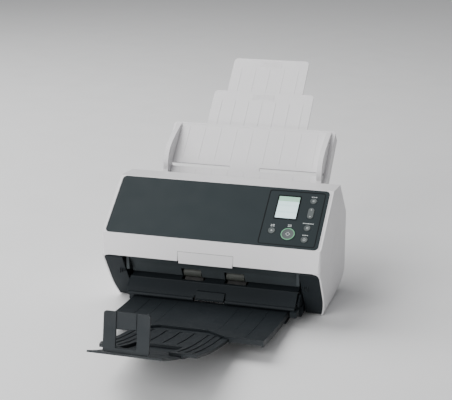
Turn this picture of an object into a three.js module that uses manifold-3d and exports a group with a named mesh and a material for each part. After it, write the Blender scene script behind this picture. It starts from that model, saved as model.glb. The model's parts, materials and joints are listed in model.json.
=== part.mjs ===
// Sheet fed document scanner. Millimetres, +X right, +Y back, +Z up, standing on z = 0.
// The parts are drawn with y = 0 at the front of the feeder; the whole group is then centred on its length.
import * as THREE from 'three';
import { mergeVertices } from 'three/addons/utils/BufferGeometryUtils.js';
import Module from 'manifold-3d';

const wasm = await Module();
wasm.setup();

// ---------- driving dimensions ----------
const halfWidth = 150;
const wall = 3;
const sideWall = 2;
const gap = 0.4; // between pieces that move past each other
const fit = 0.3; // between pieces that are fixed together
const taper = 5.4; // how far each side curves in towards the table
const taperHeight = 34; // the height where that curve begins
const frontRound = 6; // the upright corners at the front of the feeder

// side profile of the body, as [y, z]
const bandBottom = [0, 75];
const bandTop = [2, 105.5];
const panelTop = [78.8, 165.1];
const topRear = [121, 162.5];
const shoulder = [169, 112];
const rearLow = [169, 27];
const heelPull = [165, 6]; // draws the curve between the rear and the underside
const heel = [118, 2.5];
const toe = [48, 1.5];
const trayLow = 4.7; // underside of the base tray
const trayThick = 2.3;

const pivot = [22, 58]; // the feeder turns here
const earRadius = 28.2;
const hingePin = 3; // radius
const splitOffset = 6; // the side split runs along z = y + splitOffset

const guideHalf = 116.5; // half width of the paper guides
const plateInner = 117; // frame plates stand just outside the guides
const plateOuter = 120;
const cheekInner = 122;
const cheekOuter = halfWidth - sideWall - gap;

// paper path: a 45 degree plane that flattens towards the exit
const throat = [128, 113.6];
const pathLow = [66, 51.6];
const pathBend = [46, 44.8];
const exitNip = [36, 42.2];
const ridge = [20, 40];
const lip = [5, 24];
const sheetWall = 2.5;

// stacker: every plate slides on one arc, hollow side up
const stackRadius = 760;
const stackLow = [0.6, 18];
const plateHalf = 107.4;
const extensionHalf = [62.7, 43.6];
const frontAngle = { plate: 9.12, first: 18.57, second: 23.4 };
const rearAngle = { plate: -0.6, first: 7.1, second: 13.9 };
const layer = { plate: 2.5, first: 3.5, second: 2.2, gap: 0.5 };

// chute, in its own frame: along the paper, and off the paper surface
const chuteAngle = Math.PI / 4;
const chuteHalf = 121;
const chuteTop = 138;
const chuteDepth = 20;
const paperHalf = 109;
const guideThick = 7;

// ---------- materials ----------
function finish(color, roughness, metalness = 0) {
  return () => new THREE.MeshStandardMaterial({ color, roughness, metalness });
}
const lightShell = finish(0xd2d1d3, 0.5);
const darkPanel = finish(0x3c4548, 0.45);
const darkFrame = finish(0x24292c, 0.6);
const stackerPlastic = finish(0x272c2f, 0.6);
const buttonGrey = finish(0x6f7678, 0.5);
const screenGlass = finish(0xd6ebe9, 0.15);
const blackGlass = finish(0x101315, 0.08);
const rubber = finish(0x2b2b2a, 0.9);
const oliveRoller = finish(0x5b5f58, 0.7);
const steel = finish(0xb8bbbe, 0.3, 1);
const board = finish(0x1f5a38, 0.6);
const blackPlastic = finish(0x1b1d1f, 0.55);

// ---------- solids ----------
const scanner = new THREE.Group();

function toSolid(geometry) {
  const bare = geometry.index ? geometry.toNonIndexed() : geometry;
  bare.deleteAttribute('normal');
  bare.deleteAttribute('uv');
  const merged = mergeVertices(bare, 1e-4);
  return new wasm.Manifold(new wasm.Mesh({
    numProp: 3,
    vertProperties: new Float32Array(merged.attributes.position.array),
    triVerts: new Uint32Array(merged.index.array),
  }));
}

function toGeometry(solid) {
  const mesh = solid.getMesh();
  const geometry = new THREE.BufferGeometry();
  geometry.setAttribute('position', new THREE.BufferAttribute(mesh.vertProperties, 3));
  geometry.setIndex(new THREE.BufferAttribute(mesh.triVerts, 1));
  return geometry;
}

function addPart(name, solid, material, parent = scanner) {
  const mesh = new THREE.Mesh(toGeometry(solid), material());
  mesh.name = name;
  parent.add(mesh);
  return mesh;
}

function join(...solids) {
  return solids.reduce((whole, piece) => whole.add(piece));
}

function cut(solid, ...tools) {
  return tools.reduce((rest, tool) => rest.subtract(tool), solid);
}

function extruded(shape, depth, curveSegments = 8) {
  return new THREE.ExtrudeGeometry(shape, { depth, bevelEnabled: false, curveSegments });
}

// an outline of [y, z] points, or a Shape in y and z, pulled from x = from to x = to
function alongX(outline, from, to) {
  const shape = outline instanceof THREE.Shape
    ? outline
    : new THREE.Shape(outline.map(([y, z]) => new THREE.Vector2(y, z)));
  const geometry = extruded(shape, to - from);
  const turn = new THREE.Matrix4().set(0, 0, 1, from, 1, 0, 0, 0, 0, 1, 0, 0, 0, 0, 0, 1);
  return toSolid(geometry.applyMatrix4(turn));
}

// an outline of [x, z] points pulled from y = from to y = to
function alongY(outline, from, to) {
  const shape = new THREE.Shape(outline.map(([x, z]) => new THREE.Vector2(x, z)));
  const geometry = extruded(shape, to - from);
  const turn = new THREE.Matrix4().set(1, 0, 0, 0, 0, 0, -1, to, 0, 1, 0, 0, 0, 0, 0, 1);
  return toSolid(geometry.applyMatrix4(turn));
}

// a Shape in x and y pulled from z = from to z = to
function alongZ(shape, from, to, curveSegments = 8) {
  return toSolid(extruded(shape, to - from, curveSegments).translate(0, 0, from));
}

function block(x0, x1, y0, y1, z0, z1) {
  const geometry = new THREE.BoxGeometry(x1 - x0, y1 - y0, z1 - z0);
  return toSolid(geometry.translate((x0 + x1) / 2, (y0 + y1) / 2, (z0 + z1) / 2));
}

// a round bar along X, centred on [y, z]
function roller([y, z], radius, from, to, sides = 24) {
  const geometry = new THREE.CylinderGeometry(radius, radius, to - from, sides);
  return toSolid(geometry.rotateZ(Math.PI / 2).translate((from + to) / 2, y, z));
}

function roundedRectangle(x0, x1, y0, y1, radius) {
  const shape = new THREE.Shape();
  shape.moveTo(x0 + radius, y0);
  shape.lineTo(x1 - radius, y0);
  shape.absarc(x1 - radius, y0 + radius, radius, -Math.PI / 2, 0);
  shape.lineTo(x1, y1 - radius);
  shape.absarc(x1 - radius, y1 - radius, radius, 0, Math.PI / 2);
  shape.lineTo(x0 + radius, y1);
  shape.absarc(x0 + radius, y1 - radius, radius, Math.PI / 2, Math.PI);
  shape.lineTo(x0, y0 + radius);
  shape.absarc(x0 + radius, y0 + radius, radius, Math.PI, 1.5 * Math.PI);
  return shape;
}

// a plate with round corners: its x, y and z ranges, then the corner radius
function roundedBlock(x0, x1, y0, y1, z0, z1, radius) {
  return alongZ(roundedRectangle(x0, x1, y0, y1, radius), z0, z1);
}

function disc(x, y, radius) {
  const shape = new THREE.Shape();
  shape.absarc(x, y, radius, 0, 2 * Math.PI);
  return shape;
}

// the closed outline of a wall of even thickness laid to the left of an open line of [y, z] points
function wallOutline(line, thickness) {
  const normals = line.slice(1).map(([y, z], i) => {
    const length = Math.hypot(y - line[i][0], z - line[i][1]);
    return [-(z - line[i][1]) / length, (y - line[i][0]) / length];
  });
  const inner = line.map(([y, z], i) => {
    const before = normals[Math.max(i - 1, 0)];
    const after = normals[Math.min(i, normals.length - 1)];
    const scale = thickness / (1 + before[0] * after[0] + before[1] * after[1]);
    return [y + (before[0] + after[0]) * scale, z + (before[1] + after[1]) * scale];
  });
  return [...line, ...inner.reverse()];
}

function mirrored(solid) {
  return solid.mirror([1, 0, 0]);
}

// ---------- shared outlines ----------
function arcPoints(centre, radius, from, to, steps) {
  return Array.from({ length: steps + 1 }, (_, i) => {
    const angle = from + ((to - from) * i) / steps;
    return [centre[0] + radius * Math.cos(angle), centre[1] + radius * Math.sin(angle)];
  });
}

// where the split circle of a given radius meets the slanted front, and the 45 degree split line
function splitPoints(radius, offset) {
  const slope = [toe[0] - bandBottom[0], toe[1] - bandBottom[1]];
  const length = Math.hypot(...slope);
  const unit = slope.map((v) => v / length);
  const from = [pivot[0] - bandBottom[0], pivot[1] - bandBottom[1]];
  const along = from[0] * unit[0] + from[1] * unit[1];
  const away = Math.hypot(from[0] - along * unit[0], from[1] - along * unit[1]);
  const reach = along + Math.sqrt(radius ** 2 - away ** 2);
  const front = [bandBottom[0] + reach * unit[0], bandBottom[1] + reach * unit[1]];
  const off = pivot[1] - pivot[0] - offset;
  const half = Math.sqrt(radius ** 2 - off ** 2 / 2) / Math.SQRT2;
  const rear = [pivot[0] + off / 2 + half, pivot[0] + off / 2 + half + offset];
  const angleOf = ([y, z]) => Math.atan2(z - pivot[1], y - pivot[0]);
  return arcPoints(pivot, radius, angleOf(front), angleOf(rear), 10);
}

// the point of the sloping rear top edge on the line z = y + offset
function splitTop(offset) {
  const slope = (shoulder[1] - topRear[1]) / (shoulder[0] - topRear[0]);
  const y = (topRear[1] - slope * topRear[0] - offset) / (1 - slope);
  return [y, y + offset];
}

// the space between two side walls: upright, then curving in towards the table
function betweenSides(half, low, high) {
  const steps = 6;
  const right = Array.from({ length: steps + 1 }, (_, i) => {
    const z = low + ((taperHeight - low) * i) / steps;
    return [half - taper * (1 - z / taperHeight) ** 2, z];
  });
  right.push([half, high]);
  const left = right.map(([x, z]) => [-x, z]).reverse();
  return alongY([...right, ...left], -20, high);
}

const outerSpace = betweenSides(halfWidth, 0, 200);
const innerSpace = betweenSides(halfWidth - sideWall, -1, 210);
const cavitySpace = betweenSides(cheekOuter, -1, 210);

// the curved underside at the back, from the rear wall to the heel
const heelPoints = [rearLow, heelPull, heel].map((at) => new THREE.Vector2(...at));
const heelCurve = new THREE.QuadraticBezierCurve(...heelPoints).getPoints(8).map(({ x, y }) => [x, y]);

// where the paper is gripped or read on the 45 degree path
const onPath = (y) => [y, throat[1] + y - throat[0]];
const nip = { pick: onPath(104), feed: onPath(88), scan: onPath(74) };

// a centre set off the 45 degree path, below it (negative) or above it
function offPath([y, z], distance) {
  return [y - distance / Math.SQRT2, z + distance / Math.SQRT2];
}

const pickRadius = 10;
const brakeRadius = 9;
const feedRadius = 8;
const feedPinchRadius = 7;
const ejectPinchRadius = 7;
const nipGap = 0.2;
const pickCentre = offPath(nip.pick, -pickRadius - nipGap);
const brakeCentre = offPath(nip.pick, brakeRadius + nipGap);
const feedCentre = offPath(nip.feed, -feedRadius - nipGap);
const feedPinchCentre = offPath(nip.feed, feedPinchRadius + nipGap);
const ejectCentre = [exitNip[0] + 1.2, exitNip[1] - feedRadius - nipGap];
const ejectPinchCentre = [exitNip[0] + 0.3, exitNip[1] + ejectPinchRadius + nipGap];
const pinchSpans = [[-44, -19], [16, 41]];
const feedSpans = [[-36, -20], [20, 36]];
const brakeSpan = [-20, 20];
const pickSpan = [-22, 22];
const motorCentre = [132, 54];
const shaftRadius = 2.5;
const shaftHole = 2.9;
const shaftEnds = [-137, 119.5]; // X range of a shaft that carries a pulley
const throughPlate = [100, 140]; // X range that passes right through the right frame plate
const motorRadius = 17;
const motorFace = -76; // X of the motor's inner end
const scanBar = [112, 8.5, 4]; // half length, half width along the path, half depth
const scanPane = [108, 5.4, 0.9];

// a long bar across the machine, centred on [y, z] and turned 45 degrees
function pathBar([y, z], halfLength, halfAlong, halfDeep) {
  const geometry = new THREE.BoxGeometry(2 * halfLength, 2 * halfAlong, 2 * halfDeep);
  return toSolid(geometry.rotateX(chuteAngle).translate(0, y, z));
}

// ---------- feeder (the upper unit that tips forward) ----------
const panelAngle = Math.atan2(panelTop[1] - bandTop[1], panelTop[0] - bandTop[0]);
const panelLength = Math.hypot(panelTop[1] - bandTop[1], panelTop[0] - bandTop[0]);
const panelHalf = 145.3;
const panelEdge = [1.2, panelLength - 1.4];
const panelThick = 2.6;
const tab = { left: -42.5, right: 33.5, top: 88, thick: 2.2 };

// a solid drawn on the panel (x across, y up the slope, z off the surface) put in its place
function onPanel(solid) {
  return solid.rotate([(panelAngle * 180) / Math.PI, 0, 0]).translate([0, bandTop[0], bandTop[1]]);
}

function feederShell() {
  const split = splitPoints(earRadius, splitOffset);
  const side = [bandBottom, bandTop, panelTop, topRear, splitTop(splitOffset), ...split.reverse()];
  const sides = cut(alongX(side.reverse(), -halfWidth, halfWidth), innerSpace);
  const lipRear = [topRear[0] - 3, topRear[1] - 12];
  const strip = wallOutline([lipRear, topRear, panelTop, bandTop, bandBottom], 5);
  const skin = alongX(strip, -halfWidth + 1, halfWidth - 1);
  const [low, high] = [panelEdge[0] - fit, panelEdge[1] + fit];
  const recess = onPanel(
    roundedBlock(-panelHalf - fit, panelHalf + fit, low, high, -panelThick - fit, 9, 6),
  );
  const window = onPanel(roundedBlock(-132, 143, low + 6, high - 6, -20, 9, 4));
  const thin = block(-halfWidth + 6, halfWidth - 6, 3, 12, bandBottom[1] - 1, bandTop[1] - 5);
  const corner = alongX(wallOutline([splitTop(splitOffset), topRear], wall), chuteHalf + 3, halfWidth - 1);
  const tabSlot = block(tab.left - gap, tab.right + gap, -3, 8, bandBottom[1] - 2, tab.top + gap);
  const footprint = roundedBlock(-halfWidth, halfWidth, 0, 300, 0, 200, frontRound);
  return join(cut(join(sides, skin), recess, window, thin, tabSlot), corner, mirrored(corner))
    .intersect(outerSpace).intersect(footprint);
}

const controls = { left: 65.5, right: 139.8, low: 5.5, high: 91.2 };
const screen = { left: 78.8, right: 107.8, low: 47.6, high: 82.4 };
const buttons = {
  button_menu: { at: [125.8, 78.2], radius: 4.4 },
  button_clear: { at: [125.4, 34.7], radius: 4.4 },
  button_power: { at: [124.9, 16.3], radius: 4.6 },
  button_scan: { at: [101.9, 22.8], radius: 9.2 },
  button_send: { at: [79.4, 26.5], radius: 4.7 },
};
const keyDepth = [-3.2, 0.5]; // from under the panel's surface to just above it
const rocker = { at: [125.7, 58.3], half: [3.9, 8.6] };

function frontPanel() {
  const { left, right, low, high } = controls;
  const slab = roundedBlock(-panelHalf, panelHalf, ...panelEdge, -panelThick, 0, 5.7);
  const hole = roundedBlock(left - gap, right + gap, low - gap, high + gap, -5, 5, 3.4);
  return onPanel(cut(slab, hole));
}

function controlPlate() {
  const slab = roundedBlock(...Object.values(controls), -2.8, -0.2, 3);
  const { left, right, low, high } = screen;
  const display = roundedBlock(left - fit, right + fit, low - fit, high + fit, -1.4, 5, 1);
  const holes = Object.values(buttons).map(({ at, radius }) => alongZ(disc(...at, radius + gap), -5, 5, 12));
  const slot = alongZ(rockerShape(gap), -5, 5);
  return onPanel(cut(slab, display, slot, ...holes));
}

function rockerShape(grow) {
  const [x, y] = rocker.at;
  const [w, h] = rocker.half.map((v) => v + grow);
  return roundedRectangle(x - w, x + w, y - h, y + h, w - 0.05);
}

// the upper paper guide from the exit to the throat, as [y, z]
const upperLine = [
  [5.5, 79], [21, 60], [30, 44.4], [46, 46.4], [64, 53.4], [103, 92.4], [109, 108], [114.5, 145],
];
// the arm on each side that carries the feeder on its pivot, as [y, z]
const armOutline = [
  [14, 52], [22, 49], [30, 50.5], [46, 50.5], [62, 56], [98, 92],
  [104, 108], [98, 116], [60, 92], [24, 80], [12, 74],
];
const besideRoller = 1.5; // room left at each end of a roller in its window
const aroundRoller = 0.6; // room left round a roller in its window

function feederFrame() {
  const sheet = alongX(wallOutline(upperLine, sheetWall), -guideHalf, guideHalf);
  const pinHole = roller(pivot, hingePin + gap, ...throughPlate);
  const arm = cut(alongX(armOutline, plateInner - 1, plateOuter), pinHole);
  const windowFor = (centre, radius) => ([from, to]) =>
    roller(centre, radius + aroundRoller, from - besideRoller, to + besideRoller);
  const windows = [
    ...pinchSpans.map(([from, to]) => block(from - besideRoller, to + besideRoller, 22, 47, 42, 57)),
    ...feedSpans.map(windowFor(feedPinchCentre, feedPinchRadius)),
    ...[brakeSpan].map(windowFor(brakeCentre, brakeRadius)),
    pathBar(offPath(nip.scan, 3), 109, 6.2, 4),
  ];
  return join(cut(sheet, ...windows), arm, mirrored(arm));
}

// a roller with a thin axle that runs through it and on to both sides
function axled(centre, radius, spans, axleRadius, axleHalf) {
  return join(
    roller(centre, axleRadius, -axleHalf, axleHalf, 10),
    ...spans.map(([from, to]) => roller(centre, radius, from, to, 20)),
  );
}

function releaseTab() {
  const face = block(tab.left, tab.right, 0.6, 0.6 + tab.thick, bandBottom[1] + 0.6, tab.top);
  const fingerLip = block(tab.left + 1, tab.right - 1, 0.8, 7, bandBottom[1] - 3.2, bandBottom[1] + 1.2);
  return join(face, fingerLip);
}

function buildFeeder() {
  addPart('feeder_shell', feederShell(), lightShell);
  addPart('front_panel', frontPanel(), darkPanel);
  addPart('operator_panel', controlPlate(), darkPanel);
  const glass = roundedBlock(...Object.values(screen), -1.1, 0, 0.8);
  addPart('display', onPanel(glass), screenGlass);
  for (const [name, { at, radius }] of Object.entries(buttons)) {
    addPart(name, onPanel(alongZ(disc(...at, radius), ...keyDepth, 12)), buttonGrey);
  }
  addPart('rocker_button', onPanel(alongZ(rockerShape(0), ...keyDepth)), buttonGrey);
  addPart('release_tab', releaseTab(), lightShell);
  addPart('feeder_frame', feederFrame(), darkFrame);
  addPart('upper_scan_unit', pathBar(offPath(nip.scan, 9.3), ...scanBar), blackPlastic);
  addPart('upper_scan_glass', pathBar(offPath(nip.scan, 3.8), ...scanPane), blackGlass);
  addPart('brake_roller', axled(brakeCentre, brakeRadius, [brakeSpan], 3, 58), rubber);
  const feedPinch = axled(feedPinchCentre, feedPinchRadius, feedSpans, 1.6, 60);
  addPart('feed_pinch_rollers', feedPinch, oliveRoller);
  const ejectPinch = axled(ejectPinchCentre, ejectPinchRadius, pinchSpans, 1.5, 60);
  addPart('eject_pinch_rollers', ejectPinch, oliveRoller);
}

// ---------- base ----------
function sideCover() {
  const split = splitPoints(earRadius + gap, splitOffset - gap * Math.SQRT2);
  const outline = [...split, splitTop(splitOffset - gap * Math.SQRT2), shoulder, ...heelCurve, toe];
  return cut(alongX(outline.reverse(), 120, halfWidth), innerSpace).intersect(outerSpace);
}

// a point on the slanted front between the band and the toe, set back from it by a depth
function onSlant(share, depth) {
  const run = toe[0] - bandBottom[0];
  const drop = bandBottom[1] - toe[1];
  const length = Math.hypot(run, drop);
  return [
    bandBottom[0] + run * share + (drop / length) * depth,
    bandBottom[1] - drop * share + (run / length) * depth,
  ];
}

function cheek() {
  const outer = [onSlant(0.03, 0), onSlant(0.98, 0), [60, toe[1] + 1.5], [60, 40], [40, 70], [8, 73]];
  const inner = [onSlant(0.08, 1.8), onSlant(0.95, 1.8), [64, 8], [64, 50], [40, 80]];
  const clearance = cut(
    roller(pivot, 60, cheekInner - 1, cheekOuter + 2, 48),
    roller(pivot, 23.5, cheekInner - 2, cheekOuter + 3, 48),
    block(cheekInner - 2, cheekOuter + 3, -60, 90, -10, pivot[1]),
  );
  const hollow = alongX(inner, cheekInner + wall, cheekOuter + 5);
  const shell = cut(alongX(outer, cheekInner, cheekOuter), hollow, clearance);
  const boss = roller(pivot, 7, cheekInner, cheekInner + 14);
  const bore = roller(pivot, hingePin + fit, cheekInner - 5, cheekInner + 11);
  const passage = roller(ejectCentre, 4.5, cheekInner - 5, cheekInner + 5);
  return cut(join(shell, boss), bore, passage).intersect(cavitySpace);
}

// the upright plate on each side of the paper path, as [y, z]
const frameOutline = [
  [46, 9], [120, 9], [148, 24], [148, 90], [129, 110.5], [66, 48.4], [46, 41.2], [24, 36], [14, 27], [14, 22],
];

// the ledge that the stacker slides on: its radii and its angles round the stacker's arc
const track = {
  inner: stackRadius + 11.2, outer: stackRadius + 13.2, rear: -9.5, front: -1.7, tip: 0.4, wide: 6,
};

function framePlate() {
  const slotTop = alongX(stackArc(stackRadius - 1.5, stackRadius - 40, -20, 20), 100, plateHalf + 1);
  const plate = cut(
    alongX(frameOutline, plateInner, plateOuter),
    ...[feedCentre, pickCentre, ejectCentre, motorCentre]
      .map((centre) => roller(centre, shaftHole, ...throughPlate)),
  );
  const { inner, outer, rear, front, tip } = track;
  const ledge = alongX(stackArc(inner, outer, rear, front), plateHalf - track.wide, plateOuter + 1);
  const ledgeTip = alongX(stackArc(inner, outer, front - 0.3, tip), plateHalf - track.wide, plateHalf);
  const edge = alongX(stackArc(stackRadius - 1, outer, rear, front), plateHalf + 1, plateOuter + 1);
  return cut(join(plate, ledge, ledgeTip, edge), slotTop);
}

// a band between two radii of the stacker arc, from one angle to another in degrees; positive is forward
function stackArc(inner, outer, from, to) {
  const centre = [stackLow[0], stackLow[1] + stackRadius];
  const steps = Math.max(3, Math.round(Math.abs(to - from) * 0.8));
  const radians = (degrees) => -Math.PI / 2 - (degrees * Math.PI) / 180;
  return [
    ...arcPoints(centre, inner, radians(from), radians(to), steps),
    ...arcPoints(centre, outer, radians(to), radians(from), steps),
  ];
}

function lowerGuide() {
  const line = [throat, pathLow, [pathBend[0] + 1, pathBend[1] + 0.3]];
  const sheet = alongX(wallOutline(line, sheetWall), -guideHalf, guideHalf);
  return cut(
    sheet,
    pathBar(nip.pick, 24, 8, 6),
    pathBar(nip.feed, 45, 7, 6),
    pathBar(nip.scan, 109, 6, 6),
  );
}

function exitGuide() {
  const line = [pathBend, exitNip, ridge, lip, [2, 22.5]];
  const sheet = alongX(wallOutline(line, sheetWall), -guideHalf, guideHalf);
  const ridgeRib = roller([ridge[0] + 1.2, ridge[1] - 1], 1.8, -guideHalf, guideHalf, 10);
  const bar = roller([lip[0] - 2, lip[1] - 1.4], 2.6, -114, guideHalf, 12);
  const lipGap = block(-22, 22, -4, 7.5, 18, 28);
  const centreBlock = alongX([[2.5, 22], [2.5, 24.5], [9, 32], [14, 32], [14, 22]], -19, 20);
  const windows = [block(-46, -14, 25, 48, 30, 50), block(14, 46, 25, 48, 30, 50)];
  const bracket = block(112, 121, -5, 8, 14, 21.5);
  return join(cut(join(sheet, ridgeRib, bar), lipGap, ...windows), centreBlock, bracket);
}

function baseTray() {
  const line = [[toe[0] + 14, trayLow], [heel[0] + 9, trayLow + 0.3], [rearLow[0] - 9, rearLow[1] - 10]];
  const panel = alongX(wallOutline(line, trayThick), -cheekOuter, cheekOuter);
  const frontLine = [[toe[0] + 15, trayLow], [toe[0] + 19, trayLow]];
  const frontStrip = alongX(wallOutline(frontLine, trayThick), -cheekInner, cheekInner);
  return join(panel, frontStrip).intersect(cavitySpace);
}

const throughRear = [160, 175]; // Y range that passes right through the rear cover
const vents = { count: 11, pitch: 10, half: 2, low: 72, high: 88 };

function rearCover() {
  const top = splitTop(splitOffset - 3);
  const outline = wallOutline([[rearLow[0] - 5, rearLow[1] - 9.5], rearLow, shoulder, top], wall);
  const openings = [
    alongX([[100, 56], [215, 171], [100, 240]], -chuteHalf - 1.5, chuteHalf + 1.5),
    ...Object.values(sockets).map(({ x, z, half }) => block(
      x - half[0] - gap, x + half[0] + gap, ...throughRear, z - half[1] - gap, z + half[1] + gap,
    )),
    ...Array.from({ length: vents.count }, (_, i) => {
      const x = (i - (vents.count - 1) / 2) * vents.pitch;
      return block(x - vents.half, x + vents.half, ...throughRear, vents.low, vents.high);
    }),
  ];
  return cut(alongX(outline, -cheekOuter, cheekOuter).intersect(cavitySpace), ...openings);
}

const sockets = {
  dc_inlet: { x: 96, z: 48, half: [5.5, 5.5], hole: [3, 3] },
  usb_port: { x: 62, z: 48, half: [6, 6], hole: [4.2, 4] },
  lan_port: { x: 30, z: 49, half: [8, 7], hole: [5.8, 4.2] },
};

const socketRear = 168.6;

function socketBody({ x, z, half, hole }) {
  return cut(
    block(x - half[0], x + half[0], socketRear - 15.6, socketRear, z - half[1], z + half[1]),
    block(x - hole[0], x + hole[0], socketRear - 12.6, socketRear + 3, z - hole[1], z + hole[1]),
  );
}

// the outline of a belt that runs round three pulleys, given in order, standing off by a distance
function beltOutline(wheels, off) {
  return wheels.flatMap(([centre, radius], i) => {
    const [before, beforeRadius] = wheels[(i + wheels.length - 1) % wheels.length];
    const [after, afterRadius] = wheels[(i + 1) % wheels.length];
    const leave = (a, ra, b, rb) => {
      const way = Math.atan2(b[1] - a[1], b[0] - a[0]);
      return way - Math.acos((ra - rb) / Math.hypot(b[0] - a[0], b[1] - a[1]));
    };
    const start = leave(before, beforeRadius, centre, radius);
    let end = leave(centre, radius, after, afterRadius);
    while (end < start) end += 2 * Math.PI;
    return arcPoints(centre, radius + off, start, end, 8);
  });
}

const pulleyRadius = 4.2;
const pulleyBand = [-136, -129];

function driveBelt() {
  const wheels = [ejectCentre, motorCentre, feedCentre].map((centre) => [centre, pulleyRadius]);
  return cut(
    alongX(beltOutline(wheels, 1.2), pulleyBand[0] + 1, pulleyBand[1] - 1),
    alongX(beltOutline(wheels, 0.3), pulleyBand[0], pulleyBand[1]),
  );
}

function pulley(centre) {
  return cut(roller(centre, pulleyRadius, ...pulleyBand, 20), roller(centre, shaftHole, -140, -120, 16));
}

function rollerPair(centre) {
  return cut(
    join(
      roller(centre, 4.8, -43, 43),
      roller(centre, feedRadius, -43, -17),
      roller(centre, feedRadius, 17, 43),
    ),
    roller(centre, shaftHole, -60, 60),
  );
}

const feet = { x: 118, front: 76, rear: 118, radius: 8, treadRadius: 7.4, height: 4 };

function foot(x, y) {
  const geometry = new THREE.CylinderGeometry(feet.radius, feet.treadRadius, feet.height, 20);
  return toSolid(geometry.rotateX(Math.PI / 2).translate(x, y, feet.height / 2));
}

function buildBase() {
  const cover = sideCover();
  addPart('right_side_cover', cover, lightShell);
  addPart('left_side_cover', mirrored(cover), lightShell);
  const rightCheek = cheek();
  addPart('right_cheek', rightCheek, darkFrame);
  addPart('left_cheek', mirrored(rightCheek), darkFrame);
  const plate = framePlate();
  addPart('right_frame_plate', plate, darkFrame);
  addPart('left_frame_plate', mirrored(plate), darkFrame);
  addPart('base_tray', baseTray(), darkFrame);
  addPart('rear_cover', rearCover(), lightShell);
  addPart('lower_guide', lowerGuide(), darkFrame);
  addPart('exit_guide', exitGuide(), darkFrame);
  addPart('lower_scan_unit', pathBar(offPath(nip.scan, -7.1), ...scanBar), blackPlastic);
  addPart('lower_scan_glass', pathBar(offPath(nip.scan, -1.2), ...scanPane), blackGlass);
  addPart('pick_roller', axled(pickCentre, pickRadius, [pickSpan], shaftRadius, shaftEnds[1]), rubber);
  addPart('feed_shaft', roller(feedCentre, shaftRadius, ...shaftEnds, 12), steel);
  addPart('feed_rollers', rollerPair(feedCentre), rubber);
  addPart('eject_shaft', roller(ejectCentre, shaftRadius, ...shaftEnds, 12), steel);
  addPart('eject_rollers', rollerPair(ejectCentre), rubber);
  addPart('feed_pulley', pulley(feedCentre), blackPlastic);
  addPart('eject_pulley', pulley(ejectCentre), blackPlastic);
  addPart('motor_pulley', pulley(motorCentre), blackPlastic);
  addPart('drive_belt', driveBelt(), rubber);
  const motor = cut(
    roller(motorCentre, motorRadius, -plateInner + gap, motorFace, 28),
    roller(motorCentre, shaftHole, -140, -plateInner + 9),
  );
  addPart('feed_motor', motor, steel);
  addPart('motor_shaft', roller(motorCentre, shaftRadius, shaftEnds[0], -plateInner + 8.6, 12), steel);
  addPart('main_board', block(-60, 108, 150.6, 152.4, 34, 98), board);
  for (const [name, socket] of Object.entries(sockets)) addPart(name, socketBody(socket), blackPlastic);
  addPart('right_hinge_pin', roller(pivot, hingePin, plateInner - 0.2, cheekInner + 10.6, 16), steel);
  addPart('left_hinge_pin', roller(pivot, hingePin, -cheekInner - 10.6, 0.2 - plateInner, 16), steel);
  for (const [side, x] of [['left', -1], ['right', 1]]) {
    addPart(`${side}_front_foot`, foot(x * feet.x, feet.front), rubber);
    addPart(`${side}_rear_foot`, foot(x * feet.x, feet.rear), rubber);
  }
}

// ---------- stacker ----------
const railThick = 2.4;
const railDeep = 8;
const beside = 0.6; // between an extension and the rails that guide it
const grooveDeep = 0.9;

function stackerPlate() {
  const { plate: rear } = rearAngle;
  const { plate: front } = frontAngle;
  const skin = alongX(stackArc(stackRadius, stackRadius + layer.plate, rear, front), -plateHalf, plateHalf);
  const rail = stackArc(stackRadius + 1, stackRadius + railDeep, rear, front);
  const notchFront = -stackRadius * Math.sin((frontAngle.plate * Math.PI) / 180) + stackLow[0];
  const notch = flatShape([[-64, -9], [-58, 0.5], [-31, 20], [31, 20], [58, 0.5], [64, -9]], notchFront);
  const edgeRail = alongX(rail, plateHalf - railThick, plateHalf);
  const innerRail = alongX(rail, extensionHalf[0] + beside, extensionHalf[0] + beside + railThick);
  const lipArc = stackArc(stackRadius + 1, stackRadius + 6.5, front - 0.2, front);
  const frontLip = alongX(lipArc, extensionHalf[0] + 1, plateHalf);
  const half = [edgeRail, innerRail, frontLip];
  const leftCorner = frontCorner(plateHalf, notchFront);
  return cut(join(skin, ...half, ...half.map(mirrored)), alongZ(notch, 0, 60), leftCorner);
}

// an outline of [x, y] points, with y counted from a front edge
function flatShape(points, front) {
  return new THREE.Shape(points.map(([x, y]) => new THREE.Vector2(x, front + y)));
}

// a wedge that trims the front left corner of a stacker plate
function frontCorner(half, front) {
  return alongZ(flatShape([[-half - 1, 26], [-half + 11, -10], [-half - 1, -10]], front), 0, 120);
}

// shallow grooves along the top of a stacker plate
function grooves(places, from, to) {
  const top = stackRadius + layer.plate + layer.gap;
  return places.map((x) => alongX(stackArc(top - 3, top + grooveDeep, from, to), x - 1.7, x + 1.7));
}

function firstExtension() {
  const top = stackRadius + layer.plate + layer.gap;
  const under = top + layer.first + layer.gap + layer.second;
  const { first: rear } = rearAngle;
  const { first: front } = frontAngle;
  const whole = alongX(stackArc(top, top + layer.first, rear, front), -extensionHalf[0], extensionHalf[0]);
  const channel = alongX(stackArc(top - 9, top + 9, front - 4.05, front + 1), -29, 29);
  const lines = grooves([-54, -45, -36, 36, 45, 54], rear + 1.3, front - 0.9);
  const middle = grooves([-18, 0, 18], rear + 1.3, front - 5);
  const railFrom = extensionHalf[1] + beside;
  const rail = alongX(stackArc(top + 2, under, rear, front), railFrom, railFrom + railThick);
  const leftCorner = frontCorner(extensionHalf[0], stackLow[0] - top * Math.sin((front * Math.PI) / 180));
  return cut(join(cut(whole, channel, ...lines, ...middle), rail, mirrored(rail)), leftCorner);
}

function secondExtension() {
  const top = stackRadius + layer.plate + layer.first + 2 * layer.gap;
  return alongX(stackArc(top, top + layer.second, rearAngle.second, frontAngle.second),
    -extensionHalf[1], extensionHalf[1]);
}

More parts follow.
